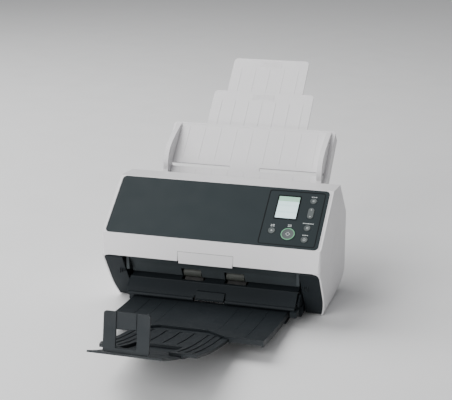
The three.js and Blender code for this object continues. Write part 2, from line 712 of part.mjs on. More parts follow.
const stopper = {
  half: 26.7, post: 14.4, height: 44, low: -1.1, thick: 3,
  recess: 1.3, seam: 2.2, windowTop: 26, lean: 10, angle: 23.05,
};
const stopperFoot = (() => {
  const radius = stackRadius + layer.plate + layer.first + 2 * layer.gap - 2;
  const angle = (stopper.angle * Math.PI) / 180;
  return [stackLow[0] - radius * Math.sin(angle), stackLow[1] + stackRadius - radius * Math.cos(angle)];
})();

function stopperFrame() {
  const { half, post, height, low, thick, recess, seam, windowTop } = stopper;
  const [face, inner] = [thick / 2, half - post];
  const frame = cut(
    roundedBlock(-half, half, low, height, -face, face, 2.5),
    roundedBlock(-inner, inner, 4.5, windowTop, -10, 10, 1),
    roundedBlock(-inner, inner, 4, height + 5, face - recess, thick, 0.5),
    block(inner - 1.6, inner, 6, height + 5, face - seam, thick),
  );
  return frame.rotate([90 - stopper.lean, 0, 0]).translate([0, ...stopperFoot]);
}

function buildStacker() {
  addPart('stacker_plate', stackerPlate(), stackerPlastic);
  addPart('stacker_extension_1', firstExtension(), stackerPlastic);
  addPart('stacker_extension_2', secondExtension(), stackerPlastic);
  addPart('stacker_stopper', stopperFrame(), stackerPlastic);
}

// ---------- chute ----------
const chuteStart = 3;
const slotAt = 66; // how far up the chute the guides' slots lie
const aboveChute = 0.5; // between a guide and the chute
const rackHeight = [-9.5, -6.5];
const extensions = [
  { name: 'chute_extension_1', half: 76, from: 112, to: 206, surface: -12.5 },
  { name: 'chute_extension_2', half: 58, from: 182, to: 268, surface: -15.5 },
];

function chutePlate() {
  const outer = roundedBlock(-chuteHalf, chuteHalf, chuteStart, chuteTop, -chuteDepth, 0, wall);
  const inside = chuteHalf - sheetWall;
  const hollow = block(-inside, inside, chuteStart - 5, chuteTop - wall, -chuteDepth - 5, -sheetWall);
  const slot = block(-paperHalf - guideThick - 1, -22, slotAt - 3, slotAt + 3, -5, 5);
  const mouth = block(-80, 80, chuteTop - 10, chuteTop + 5, -chuteDepth - 5, -11.5);
  return cut(outer, hollow, slot, mirrored(slot), mouth);
}

// the wing of a side guide, with a foot that passes through its slot to a rack behind the plate
function sideGuide(rackSide) {
  const wing = new THREE.Shape();
  wing.moveTo(8, aboveChute);
  wing.lineTo(8, 8);
  wing.lineTo(50, 10);
  wing.quadraticCurveTo(62, 24, 80, 23);
  wing.quadraticCurveTo(96, 21, 134, 3);
  wing.lineTo(134, aboveChute);
  const body = alongX(wing, paperHalf, paperHalf + guideThick);
  const [inner, outer] = [paperHalf + 1, paperHalf + guideThick - 1];
  const stem = block(inner, outer, slotAt - 2.4, slotAt + 2.4, rackHeight[0], 1);
  const rackMiddle = slotAt + rackSide * 11;
  const rack = block(8, outer, rackMiddle - 1.5, rackMiddle + 1.5, ...rackHeight);
  const neckEnds = [slotAt - rackSide * 2, slotAt + rackSide * 12.5].sort((a, b) => a - b);
  const neck = block(inner, outer, ...neckEnds, ...rackHeight);
  return join(body, stem, neck, rack);
}

function buildChute() {
  const chute = new THREE.Group();
  chute.position.set(0, ...throat);
  chute.rotation.x = chuteAngle;
  scanner.add(chute);
  addPart('chute_plate', chutePlate(), lightShell, chute);
  addPart('right_side_guide', sideGuide(1), lightShell, chute);
  addPart('left_side_guide', mirrored(sideGuide(-1)), lightShell, chute);
  const pinion = cut(alongZ(disc(0, slotAt, 9), ...rackHeight, 14), alongZ(disc(0, slotAt, 2), -15, 0));
  addPart('guide_pinion', pinion, blackPlastic, chute);
  for (const { name, half, from, to, surface } of extensions) {
    addPart(name, roundedBlock(-half, half, from, to, surface - sheetWall, surface, 6), lightShell, chute);
  }
}

buildBase();
buildFeeder();
buildStacker();
buildChute();

// centre the whole length on y = 0
const chuteEnd = throat[0] + (extensions[1].to - extensions[1].surface) * Math.SQRT1_2;
const extensionEnd = stackLow[0]
  - (stackRadius + layer.plate + layer.first + 2 * layer.gap + layer.second)
  * Math.sin((frontAngle.second * Math.PI) / 180);
scanner.position.y = -(chuteEnd + extensionEnd) / 2;

export default scanner;
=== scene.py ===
# Looks of the sheet fed document scanner: materials, fine details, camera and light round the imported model.
import json
import math

import bmesh
import bpy
from mathutils import Matrix, Vector

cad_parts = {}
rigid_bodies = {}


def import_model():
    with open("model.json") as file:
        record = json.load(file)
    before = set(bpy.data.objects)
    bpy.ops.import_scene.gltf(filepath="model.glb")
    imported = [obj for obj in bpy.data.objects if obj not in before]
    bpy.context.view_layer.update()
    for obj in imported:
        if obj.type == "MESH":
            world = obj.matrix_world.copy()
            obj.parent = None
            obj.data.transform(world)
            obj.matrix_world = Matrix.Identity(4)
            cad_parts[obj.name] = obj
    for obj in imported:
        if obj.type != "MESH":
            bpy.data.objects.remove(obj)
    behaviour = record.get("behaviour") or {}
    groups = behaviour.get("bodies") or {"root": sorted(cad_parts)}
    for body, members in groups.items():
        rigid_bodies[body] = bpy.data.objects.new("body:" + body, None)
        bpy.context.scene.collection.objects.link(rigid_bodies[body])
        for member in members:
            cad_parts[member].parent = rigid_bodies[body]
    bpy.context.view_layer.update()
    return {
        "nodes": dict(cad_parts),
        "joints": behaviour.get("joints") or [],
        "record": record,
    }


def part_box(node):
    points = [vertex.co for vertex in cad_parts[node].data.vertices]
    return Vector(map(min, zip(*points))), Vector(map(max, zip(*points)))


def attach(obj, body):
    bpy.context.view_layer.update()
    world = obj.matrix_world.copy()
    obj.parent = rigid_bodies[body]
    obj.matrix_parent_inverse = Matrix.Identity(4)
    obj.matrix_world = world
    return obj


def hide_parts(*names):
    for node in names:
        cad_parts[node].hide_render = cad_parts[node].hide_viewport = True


for leftover in list(bpy.data.objects):
    bpy.data.objects.remove(leftover)
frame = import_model()
NODES = frame["nodes"]
JOINTS = {joint["name"]: joint for joint in frame["joints"]}
MM = 0.001
X, Y, Z = Vector((1, 0, 0)), Vector((0, 1, 0)), Vector((0, 0, 1))


# ---------- camera ----------
def make_camera():
    azimuth, elevation, distance = math.radians(16.5), math.radians(16.24), 1.597
    target = Vector((0.0066, 0.0486, 0.1463))
    back = Vector((
        math.sin(azimuth) * math.cos(elevation),
        -math.cos(azimuth) * math.cos(elevation),
        math.sin(elevation),
    ))
    data = bpy.data.cameras.new("camera")
    data.lens = 94.8
    data.sensor_width = 36
    camera = bpy.data.objects.new("camera", data)
    bpy.context.scene.collection.objects.link(camera)
    camera.location = target + back * distance
    camera.rotation_mode = "QUATERNION"
    camera.rotation_quaternion = (-back).to_track_quat("-Z", "Y")
    bpy.context.scene.camera = camera


make_camera()


# ---------- node material helpers ----------
class Shader:
    """A principled material whose nodes are added and wired by name."""

    def __init__(self, name):
        self.material = bpy.data.materials.new(name)
        self.material.use_nodes = True
        self.tree = self.material.node_tree
        self.surface = self.tree.nodes["Principled BSDF"]
        self.place = self.add("ShaderNodeTexCoord").outputs["Object"]

    def add(self, kind, **settings):
        node = self.tree.nodes.new(kind)
        for key, value in settings.items():
            setattr(node, key, value)
        return node

    def wire(self, source, node, key):
        self.tree.links.new(source, node.inputs[key])

    def noise(self, scale, detail, stretch=None):
        """A noise of the object's own space; scale is in waves a metre."""
        place = self.place
        if stretch:
            mapping = self.add("ShaderNodeMapping")
            mapping.inputs["Scale"].default_value = stretch
            self.wire(place, mapping, "Vector")
            place = mapping.outputs["Vector"]
        node = self.add("ShaderNodeTexNoise")
        node.inputs["Scale"].default_value = scale
        node.inputs["Detail"].default_value = detail
        self.wire(place, node, "Vector")
        return node.outputs["Fac"]

    def spread(self, value, low, high, source=(0.3, 0.7)):
        """Maps a value from its source range onto low to high."""
        node = self.add("ShaderNodeMapRange")
        node.inputs["From Min"].default_value = source[0]
        node.inputs["From Max"].default_value = source[1]
        node.inputs["To Min"].default_value = low
        node.inputs["To Max"].default_value = high
        self.wire(value, node, "Value")
        return node.outputs["Result"]

    def blend(self, factor, first, second):
        node = self.add("ShaderNodeMix", data_type="RGBA")
        self.wire(factor, node, 0)
        for socket, colour in ((6, first), (7, second)):
            if isinstance(colour, bpy.types.NodeSocket):
                self.tree.links.new(colour, node.inputs[socket])
            else:
                node.inputs[socket].default_value = (*colour, 1)
        return node.outputs[2]

    def bump(self, height, depth, strength, under=None):
        node = self.add("ShaderNodeBump")
        node.inputs["Strength"].default_value = strength
        node.inputs["Distance"].default_value = depth
        self.wire(height, node, "Height")
        if under is not None:
            self.wire(under, node, "Normal")
        return node.outputs["Normal"]

    def paint(self, colour, rough, normal=None):
        for value, key in ((colour, "Base Color"), (rough, "Roughness"), (normal, "Normal")):
            if value is not None:
                self.wire(value, self.surface, key)

    def fixed(self, values):
        for key, value in values.items():
            self.surface.inputs[key].default_value = value


def shade(colour, factor):
    return tuple(channel * factor for channel in colour)


def moulded(name, colour, rough, grain, depth, variation=0.05, gloss=0.5):
    """Injection moulded plastic: spark-eroded grain, cloudy gloss and faint darker specks."""
    made = Shader(name)
    cloud = made.noise(9, 3)
    fine = made.noise(grain, 3)
    tone = made.blend(made.spread(cloud, 0, 1), shade(colour, 1 - variation), shade(colour, 1 + variation))
    specks = made.spread(made.noise(grain * 0.6, 1), 0, 0.25, (0.62, 0.8))
    made.paint(
        made.blend(specks, tone, shade(colour, 0.9)),
        made.spread(made.noise(45, 4), rough - 0.06, rough + 0.06),
        made.bump(fine, depth, 0.7, made.bump(made.noise(30, 2), depth * 3, 0.2)),
    )
    made.fixed({"Specular IOR Level": gloss})
    return made.material


# ---------- materials, one for each slot of the record ----------
def light_plastic():
    return moulded("light_plastic", (0.76, 0.75, 0.76), 0.45, 1500, 0.00004, 0.015, 0.35)


def panel_plastic():
    return moulded("panel_plastic", (0.02, 0.028, 0.031), 0.46, 1900, 0.00003, 0.05, 0.1)


def frame_plastic():
    return moulded("frame_plastic", (0.015, 0.019, 0.022), 0.55, 1300, 0.00005, 0.08, 0.14)


def guide_plastic_painted_lighter():
    """The feeder's paper guide: a paler copy of the frame plastic, its lighter tone painted light in place of
    the light the shaded exit lacks, so that its shape reads there.
    """
    return moulded("guide_plastic_painted_lighter", (0.042, 0.05, 0.054), 0.6, 1300, 0.00005, 0.12, 0.2)


def stacker_plastic():
    return moulded("stacker_plastic", (0.015, 0.019, 0.022), 0.5, 1300, 0.00005, 0.08, 0.18)


def button_plastic():
    return moulded("button_plastic", (0.085, 0.098, 0.098), 0.42, 2200, 0.00002, 0.05, 0.25)


def black_plastic():
    return moulded("black_plastic", (0.006, 0.007, 0.008), 0.5, 1400, 0.00004, 0.1, 0.08)


def roller_plastic():
    return moulded("roller_plastic", (0.052, 0.056, 0.05), 0.6, 900, 0.00008, 0.12, 0.3)


def rubber():
    made = Shader("rubber")
    dust = made.spread(made.noise(70, 4), 0, 0.7, (0.45, 0.75))
    made.paint(
        made.blend(dust, (0.018, 0.018, 0.018), (0.05, 0.048, 0.045)),
        made.spread(made.noise(220, 2), 0.72, 0.92),
        made.bump(made.noise(1100, 3), 0.0001, 0.8),
    )
    return made.material


def steel():
    made = Shader("steel")
    drawn = made.noise(700, 3, (0.04, 1, 1))
    made.paint(
        made.blend(made.spread(drawn, 0, 1), (0.5, 0.51, 0.52), (0.66, 0.67, 0.68)),
        made.spread(made.noise(260, 3), 0.22, 0.38),
        made.bump(drawn, 0.00002, 0.5),
    )
    made.fixed({"Metallic": 1.0})
    return made.material


def scan_glass():
    made = Shader("scan_glass")
    smear = made.noise(60, 5, (1, 0.3, 0.3))
    made.paint(
        made.blend(made.spread(smear, 0, 1), (0.004, 0.005, 0.006), (0.012, 0.013, 0.015)),
        made.spread(smear, 0.04, 0.16),
        made.bump(made.noise(20, 1), 0.00002, 0.3),
    )
    made.fixed({"Coat Weight": 0.6})
    return made.material


def board():
    """Solder mask over copper tracks, which show as slightly raised lighter runs."""
    made = Shader("board")
    cells = made.add("ShaderNodeTexVoronoi", distance="MANHATTAN", feature="F1")
    cells.inputs["Scale"].default_value = 190
    made.wire(made.place, cells, "Vector")
    tracks = made.spread(cells.outputs["Distance"], 0, 1, (0.42, 0.5))
    made.paint(
        made.blend(tracks, (0.008, 0.075, 0.03), (0.02, 0.14, 0.06)),
        made.spread(made.noise(90, 2), 0.28, 0.4),
        made.bump(tracks, 0.00004, 0.8),
    )
    return made.material


def screen_glass():
    """A lit screen: a green header over a pale field with faint rules, drawn by height up the screen."""
    made = Shader("screen_glass")
    low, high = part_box("display")
    split = made.add("ShaderNodeSeparateXYZ")
    made.wire(made.place, split, "Vector")
    height = made.spread(split.outputs["Z"], 0, 1, (low.z, high.z))
    header = made.spread(height, 0, 1, (0.775, 0.795))
    rules = made.add("ShaderNodeTexWave", wave_type="BANDS", bands_direction="Z")
    rules.inputs["Scale"].default_value = 48
    rules.inputs["Distortion"].default_value = 0
    made.wire(made.place, rules, "Vector")
    lines = made.spread(rules.outputs["Fac"], 0, 0.22, (0.82, 0.95))
    field = made.blend(height, (0.70, 0.88, 0.92), (0.58, 0.83, 0.80))
    ruled = made.blend(lines, field, (0.30, 0.42, 0.46))
    head = made.blend(made.noise(300, 1), (0.28, 0.50, 0.38), (0.34, 0.56, 0.43))
    colour = made.blend(header, ruled, head)
    made.paint(colour, made.spread(made.noise(80, 2), 0.08, 0.16))
    made.wire(colour, made.surface, "Emission Color")
    made.fixed({"Emission Strength": 0.55})
    return made.material


def printed_ink():
    return moulded("printed_ink", (0.5, 0.53, 0.53), 0.5, 2500, 0.00001)


def green_light():
    made = Shader("green_light")
    tone = made.blend(made.noise(400, 2), (0.07, 0.26, 0.13), (0.13, 0.38, 0.2))
    made.paint(tone, made.spread(made.noise(900, 1), 0.25, 0.4), made.bump(made.noise(1500, 1), 0.00002, 0.4))
    made.wire(tone, made.surface, "Emission Color")
    made.fixed({"Emission Strength": 0.3})
    return made.material


def floor_paint():
    made = Shader("floor_paint")
    made.paint(
        made.blend(made.noise(2.5, 4), (0.9, 0.9, 0.9), (0.92, 0.92, 0.92)),
        made.spread(made.noise(14, 3), 0.55, 0.7),
        made.bump(made.noise(300, 2), 0.0001, 0.2),
    )
    return made.material


MATERIALS = {make.__name__: make() for make in (
    light_plastic, panel_plastic, frame_plastic, stacker_plastic, button_plastic, black_plastic,
    roller_plastic, rubber, steel, scan_glass, board, screen_glass, printed_ink, green_light,
)}


# ---------- carried-over CAD nodes: welded, softened edges, even shading ----------
def surface_cleaner():
    """A modifier group that welds split corners, drops stored normals and shades every face smooth."""
    group = bpy.data.node_groups.new("surface_cleaner", "GeometryNodeTree")
    group.interface.new_socket("Geometry", in_out="INPUT", socket_type="NodeSocketGeometry")
    group.interface.new_socket("Geometry", in_out="OUTPUT", socket_type="NodeSocketGeometry")
    start = group.nodes.new("NodeGroupInput")
    drop = group.nodes.new("GeometryNodeRemoveAttribute")
    drop.inputs["Name"].default_value = "custom_normal"
    weld = group.nodes.new("GeometryNodeMergeByDistance")
    weld.inputs["Distance"].default_value = 2e-6
    faces = group.nodes.new("GeometryNodeSetShadeSmooth")
    faces.domain = "FACE"
    edges = group.nodes.new("GeometryNodeSetShadeSmooth")
    edges.domain = "EDGE"
    end = group.nodes.new("NodeGroupOutput")
    chain = [start, drop, weld, faces, edges, end]
    for before, after in zip(chain, chain[1:]):
        group.links.new(before.outputs[0], after.inputs[0])
    return group


CLEANER = surface_cleaner()
SHARP_ANGLE = 28  # degrees between two faces, past which their edge is rounded


def soften(piece, width, segments):
    """Rounds every sharp edge by a width in mm, with flat faces left flat."""
    bevel = piece.modifiers.new("rounded_edges", "BEVEL")
    bevel.width = width * MM
    bevel.segments = segments
    bevel.limit_method = "ANGLE"
    bevel.angle_limit = math.radians(SHARP_ANGLE)
    bevel.use_clamp_overlap = True
    bevel.miter_outer = "MITER_ARC"
    normals = piece.modifiers.new("flat_face_normals", "WEIGHTED_NORMAL")
    normals.mode = "FACE_AREA_WITH_ANGLE"
    normals.weight = 60


# a paler copy of the frame plastic for the feeder frame: painted light in the shaded exit
GUIDE_PLASTIC_PAINTED_LIGHTER = guide_plastic_painted_lighter()
INNER_EDGE = 0.3  # mm, for every node that isn't listed below
EDGE_RADIUS = {
    "feeder_shell": 0.9, "front_panel": 0.5, "operator_panel": 0.35, "display": 0.2, "release_tab": 0.6,
    "left_side_cover": 0.9, "right_side_cover": 0.9, "rear_cover": 0.4, "chute_plate": 0.9,
    "left_side_guide": 1.4, "right_side_guide": 1.4, "stacker_plate": 0.5, "stacker_extension_1": 0.5,
    "stacker_extension_2": 0.5, "stacker_stopper": 0.6, "chute_extension_1": 0.7, "chute_extension_2": 0.7,
}


def dress_nodes():
    slots = {entry["node"]: entry["material_slot"] for entry in frame["record"]["subparts"]}
    for name, node in NODES.items():
        for holder in node.material_slots:
            # the feeder frame takes the paler guide plastic, painted light for its shaded recess
            holder.material = GUIDE_PLASTIC_PAINTED_LIGHTER if name == "feeder_frame" else MATERIALS[slots[name]]
        clean = node.modifiers.new("clean_surface", "NODES")
        clean.node_group = CLEANER
        soften(node, EDGE_RADIUS.get(name, INNER_EDGE), 3 if name in EDGE_RADIUS else 2)


dress_nodes()


# ---------- building pieces ----------
def add_piece(name, build, material, body, radius, cad_node=None):
    """Turns a bmesh into an object that rides on a body, with its edges rounded."""
    bmesh.ops.recalc_face_normals(build, faces=build.faces)
    mesh = bpy.data.meshes.new(name)
    build.to_mesh(mesh)
    build.free()
    mesh.materials.append(MATERIALS[material])
    mesh.shade_smooth()
    piece = bpy.data.objects.new(name, mesh)
    bpy.context.scene.collection.objects.link(piece)
    soften(piece, radius, 2)
    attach(piece, body)
    if cad_node:
        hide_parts(cad_node)


def place_ring(build, place, points):
    return [build.verts.new(place @ Vector(point)) for point in points]


def bridge(build, first, second):
    for i in range(len(first)):
        k = (i + 1) % len(first)
        build.faces.new((first[i], first[k], second[k], second[i]))


def slab(build, place, outline, low, high):
    """A closed plate: an outline of (x, y) points in mm, between two heights of a working frame."""
    bottom = place_ring(build, place, [(x * MM, y * MM, low * MM) for x, y in outline])
    top = place_ring(build, place, [(x * MM, y * MM, high * MM) for x, y in outline])
    bridge(build, bottom, top)
    build.faces.new(bottom[::-1])
    build.faces.new(top)


def open_slab(build, place, outer, inner, low, high):
    """A closed frame between two outlines that have the same number of points."""
    rings = [
        place_ring(build, place, [(x * MM, y * MM, h * MM) for x, y in outline])
        for outline, h in ((outer, low), (outer, high), (inner, high), (inner, low))
    ]
    for first, second in zip(rings, rings[1:] + rings[:1]):
        bridge(build, first, second)


def lathe(build, place, profile, steps=40):
    """A turned form: (radius, height) points in mm round the frame's third axis, closed at both ends."""
    rings = []
    for radius, height in profile:
        turn = [2 * math.pi * i / steps for i in range(steps)]
        rings.append(place_ring(build, place, [
            (radius * math.cos(a) * MM, radius * math.sin(a) * MM, height * MM) for a in turn
        ]))
    for first, second in zip(rings, rings[1:]):
        bridge(build, first, second)
    build.faces.new(rings[0][::-1])
    build.faces.new(rings[-1])


def rounded(x0, x1, y0, y1, radius, steps=5):
    """The outline of a rectangle with round corners."""
    left, right, bottom, top = x0 + radius, x1 - radius, y0 + radius, y1 - radius
    points = []
    corners = (right, top), (left, top), (left, bottom), (right, bottom)
    for quarter, (cx, cy) in enumerate(corners):
        for i in range(steps + 1):
            angle = math.pi / 2 * (quarter + i / steps)
            points.append((cx + radius * math.cos(angle), cy + radius * math.sin(angle)))
    return points


def bar(length, width, x=0.0, y=0.0):
    """A rectangle round a point, its corners rounded by 0.3 of the shorter side."""
    return rounded(x - length / 2, x + length / 2, y - width / 2, y + width / 2, min(length, width) * 0.3, 3)


def polygon(sides, radius, x=0.0, y=0.0, turn=0.0):
    angles = [turn + 2 * math.pi * i / sides for i in range(sides)]
    return [(x + radius * math.cos(a), y + radius * math.sin(a)) for a in angles]


def facing(normal, up, at):
    """A frame with its origin at a point of the row frame."""
    place = Matrix((up.cross(normal), up, normal)).transposed().to_4x4()
    place.translation = at
    return place


def working_frame(node, normal, up):
    """A frame on a node's outermost face: x across, y from its lowest edge upwards, z off the face."""
    points = [vertex.co for vertex in NODES[node].data.vertices]
    height = max(point.dot(normal) for point in points)
    start = min(point.dot(up) for point in points)
    return facing(normal, up, normal * height + up * start)


def heights_in(place, node):
    """How far up a working frame each corner of a node lies, in mm."""
    inverse = place.inverted()
    return [(inverse @ vertex.co).y / MM for vertex in NODES[node].data.vertices]


def spot(place, node):
    """Where the middle of a node lies in a working frame, as (x, y) in mm."""
    low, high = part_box(node)
    at = place.inverted() @ ((low + high) / 2)
    return at.x / MM, at.y / MM


PANEL_NORMAL = -Vector(JOINTS["button_scan_press"]["axis"])
PANEL = working_frame("front_panel", PANEL_NORMAL, PANEL_NORMAL.cross(X))
CHUTE_NORMAL = Vector(JOINTS["guide_pinion_turn"]["axis"])
CHUTE_UP = -Vector(JOINTS["chute_extension_1_slide"]["axis"])
CHUTE = working_frame("chute_plate", CHUTE_NORMAL, CHUTE_UP)


# ---------- operator panel ----------
KEY_MARK = 0.05, 0.42  # foot and top of a printed key mark, in mm off the panel's face


def round_button(node):
    """A key with a softly dished face inside a raised rim."""
    foot, rim, dish, hollow = -3.2, 0.5, 0.38, 0.15
    x, y = spot(PANEL, node)
    low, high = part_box(node)
    radius = (high.x - low.x) / 2 / MM
    build = bmesh.new()
    place = PANEL @ Matrix.Translation((x * MM, y * MM, 0))
    lathe(build, place, [
        (radius, foot), (radius, rim / 2), (radius - 0.3, rim), (radius - 0.75, rim), (radius - 1.1, dish),
        (radius * 0.5, dish - hollow * 0.7), (0.2, dish - hollow),
    ])
    add_piece("key_" + node, build, "button_plastic", node + "_key", 0.05, node)
    return place, radius


def key_mark(node, place, outlines, frames=()):
    build = bmesh.new()
    for outline in outlines:
        slab(build, place, outline, *KEY_MARK)
    for outer, inner in frames:
        open_slab(build, place, outer, inner, *KEY_MARK)
    add_piece("mark_" + node, build, "printed_ink", node + "_key", 0.02)


def build_keys():
    places = {node: round_button(node) for node in (
        "button_menu", "button_clear", "button_power", "button_scan", "button_send",
    )}
    place, radius = places["button_scan"]
    build = bmesh.new()
    open_slab(build, place, polygon(48, radius - 0.05), polygon(48, radius - 1.15), 0.3, 0.62)
    add_piece("scan_key_light", build, "green_light", "button_scan_key", 0.05)
    key_mark("button_scan", place, [], [(polygon(4, 3.2), polygon(4, 2.4))])
    key_mark("button_menu", places["button_menu"][0], [bar(2.6, 0.4, 0, y) for y in (-0.9, 0, 0.9)])
    key_mark("button_clear", places["button_clear"][0], [], [(bar(2.4, 2.4), bar(1.5, 1.5))])
    key_mark("button_send", places["button_send"][0], [polygon(3, 1.5)])
    key_mark("button_power", places["button_power"][0], [bar(0.4, 1.5, 0, 1.1)], [
        (polygon(24, 1.7), polygon(24, 1.25)),
    ])


def build_rocker_marks():
    x, y = spot(PANEL, "rocker_button")
    build = bmesh.new()
    for way in (1, -1):
        slab(build, PANEL, polygon(3, 1.2, x, y + way * 5.4, way * math.pi / 2), 0.3, 0.58)
    add_piece("rocker_arrows", build, "printed_ink", "rocker_key", 0.02)


def build_captions():
    """Short printed rules above the keys, in place of any lettering."""
    width, gap = 1.15, 0.6
    captions = {
        "button_menu": ((6.6, (2.1, 1.6, 2.4)),),
        "button_clear": ((7.2, (2.6, 2.0, 3.2, 2.4, 1.8)),),
        "button_power": ((7.0, (1.8, 2.4, 2.0)),),
        "button_send": ((9.4, (1.8, 2.6)), (7.2, (2.2, 2.4))),
        "button_scan": ((14.6, (2.0, 2.2)), (12.4, (2.8, 1.6))),
    }
    build = bmesh.new()
    for node, lines in captions.items():
        x, y = spot(PANEL, node)
        for rise, lengths in lines:
            reach = -(sum(lengths) + gap * (len(lengths) - 1)) / 2
            for length in lengths:
                slab(build, PANEL, bar(length, width, x + reach + length / 2, y + rise), -0.3, -0.14)
                reach += length + gap
    add_piece("key_captions", build, "printed_ink", "feeder", 0.02)


def build_panel_rim():
    """The bright rolled edge of the light shell round the dark panel."""
    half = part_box("front_panel")[1].x / MM
    length = max(heights_in(PANEL, "front_panel"))
    build = bmesh.new()
    outer = rounded(-half - 1.7, half + 1.7, -1.1, length + 1.2, 7.2)
    inner = rounded(-half - 0.4, half + 0.4, -0.4, length + 0.4, 6.1)
    open_slab(build, PANEL, outer, inner, -0.6, 0.55)
    add_piece("panel_rim", build, "light_plastic", "feeder", 0.4)


def build_operator_seam():
    """The dark shadow line where the operator panel is let into the front panel."""
    low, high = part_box("operator_panel")
    heights = heights_in(PANEL, "operator_panel")
    x0, x1, y0, y1 = low.x / MM, high.x / MM, min(heights), max(heights)
    build = bmesh.new()
    outer = rounded(x0 - 0.9, x1 + 0.9, y0 - 0.9, y1 + 0.9, 3.8)
    inner = rounded(x0 + 0.3, x1 - 0.3, y0 + 0.3, y1 - 0.3, 2.7)
    open_slab(build, PANEL, outer, inner, -1.0, 0.1)
    add_piece("operator_panel_seam", build, "black_plastic", "feeder", 0.03)


def build_tab_seam():
    """The dark shadow lines beside and above the release tab, on the face of the front band."""
    gap, overlap, start = 0.6, 0.05, 0.4
    shell = [vertex.co for vertex in NODES["feeder_shell"].data.vertices]
    front = min(point.y for point in shell)
    band = [point for point in shell if point.y < front + 2.1 * MM]
    foot = min(band, key=lambda point: point.z)
    head = max(band, key=lambda point: point.z)
    up = Vector((0, head.y - front, head.z - foot.z)).normalized()
    place = facing(X.cross(up), up, Vector((0, front, foot.z)))
    low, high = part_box("release_tab")
    top = (place.inverted() @ Vector((0, front, high.z))).y / MM
    x0, x1 = low.x / MM, high.x / MM
    build = bmesh.new()
    for left, right, bottom in (
        (x0 - gap, x0 + overlap, start), (x1 - overlap, x1 + gap, start), (x0, x1, top + overlap),
    ):
        outline = [(left, bottom), (right, bottom), (right, top + gap), (left, top + gap)]
        slab(build, place, outline, -0.8, 0.04)
    add_piece("release_tab_seam", build, "black_plastic", "feeder", 0.03)


def build_screen_frame():
    low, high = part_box("display")
    x, y = spot(PANEL, "display")
    half_x = (high.x - low.x) / 2 / MM
    half_y = (high.z - low.z) / 2 / MM / PANEL_NORMAL.cross(X).z
    build = bmesh.new()
    outer = rounded(x - half_x - 1.3, x + half_x + 1.3, y - half_y - 1.3, y + half_y + 1.3, 1.6)
    inner = rounded(x - half_x + 0.5, x + half_x - 0.5, y - half_y + 0.5, y + half_y - 0.5, 0.7)
    open_slab(build, PANEL, outer, inner, 0.02, 0.3)
    add_piece("screen_frame", build, "black_plastic", "feeder", 0.08)


# ---------- exit ----------
def exit_corner():
    """A frame on the sloping front edge of the side walls, with its origin at the edge's top."""
    cover = [vertex.co for vertex in NODES["right_side_cover"].data.vertices]
    shell = [vertex.co for vertex in NODES["feeder_shell"].data.vertices]
    front = min(point.y for point in shell)
    top = min((point for point in shell if point.y < front + 0.1 * MM), key=lambda point: point.z)
    floor = min(point.z for point in cover)
    toe = min((point for point in cover if point.z < floor + 0.1 * MM), key=lambda point: point.y)
    down = Vector((0, toe.y - top.y, toe.z - top.z)).normalized()
    return facing(down.cross(X), -down, Vector((0, top.y, top.z)))


def build_corner_webs():
    """Small curved webs that round the upper corners of the dark opening."""
    slant = exit_corner()
    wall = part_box("right_cheek")[1].x / MM
    radius, lap, rise = 7.0, 1.6, 0.6
    for side, name in ((1, "right"), (-1, "left")):
        arc = [
            (side * (wall - radius + radius * math.sin(a)), -radius + radius * math.cos(a))
            for a in (math.pi / 2 * i / 8 for i in range(9))
        ]
        build = bmesh.new()
        rim = side * (wall + lap)
        outline = [(rim, rise), (rim, -radius), *arc[::-1], (side * (wall - radius), rise)]
        slab(build, slant, outline, 0.1, 0.7)
        add_piece(name + "_corner_web", build, "light_plastic", "feeder", 0.2)


def build_cheek_ribs():
    """Short upright ribs beside the path on both cheeks."""
    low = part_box("right_cheek")[0]
    place = facing(-Y, Z, Vector((0, low.y + 12.5 * MM, low.z)))
    spacing, fall = 2.4, 1.2
    for side, name in ((1, "right"), (-1, "left")):
        build = bmesh.new()
        for i in range(4):
            x = side * (low.x / MM + 1.0 + spacing * i)
            slab(build, place, bar(0.9, 12, x, 51.0 - fall * i), -2.5, 0.2)
        add_piece(name + "_cheek_ribs", build, "frame_plastic", "base", 0.15)


# ---------- stacker ----------
STACK_CENTRE = Vector(JOINTS["stacker_slide"]["pos_m"])


def stack_span(node):
    """The upper face's radius, and the rear and front angles of a stacker plate, round the arc's centre."""
    points = [vertex.co - STACK_CENTRE for vertex in NODES[node].data.vertices]
    radii = [math.hypot(point.y, point.z) for point in points]
    angles = [math.degrees(math.atan2(-point.y, -point.z)) for point in points]
    return min(radii) / MM, min(angles), max(angles)


def arc_bar(build, x0, x1, radius, height, start, stop):
    """A bar that follows the arc, standing proud of a radius towards the centre, with sloping ends."""
    steps, buried, sections = 14, 0.2, []
    for i in range(steps + 1):
        angle = math.radians(start + (stop - start) * i / steps)
        rise = 0.02 if i in (0, steps) else height
        ring = [(x0, radius + buried), (x1, radius + buried), (x1, radius - rise), (x0, radius - rise)]
        sections.append([build.verts.new(STACK_CENTRE + Vector((
            x * MM, -r * MM * math.sin(angle), -r * MM * math.cos(angle),
        ))) for x, r in ring])
    for first, second in zip(sections, sections[1:]):
        bridge(build, first, second)
    build.faces.new(sections[0][::-1])
    build.faces.new(sections[-1])


def build_stacker_details():
    radius, rear, front = stack_span("stacker_plate")
    build = bmesh.new()
    for x in (-82, 82):
        arc_bar(build, x - 0.7, x + 0.7, radius, 0.35, rear + 0.4, front - 0.2)
    for x in (-62, -42, 42, 62):
        arc_bar(build, x - 0.3, x + 0.3, radius, 0.2, rear + 0.6, front - 1.8)
    add_piece("stacker_beads", build, "stacker_plastic", "stacker", 0.08)
    radius, rear, front = stack_span("stacker_extension_2")
    build = bmesh.new()
    for x in (-36, -24, 24, 36):
        arc_bar(build, x - 0.8, x + 0.8, radius, 0.25, rear + 0.5, front - 0.3)
    arc_bar(build, -20, 20, radius, 0.3, rear + 1.6, rear + 3.6)
    add_piece("extension_2_ribs", build, "stacker_plastic", "extension_2", 0.08)


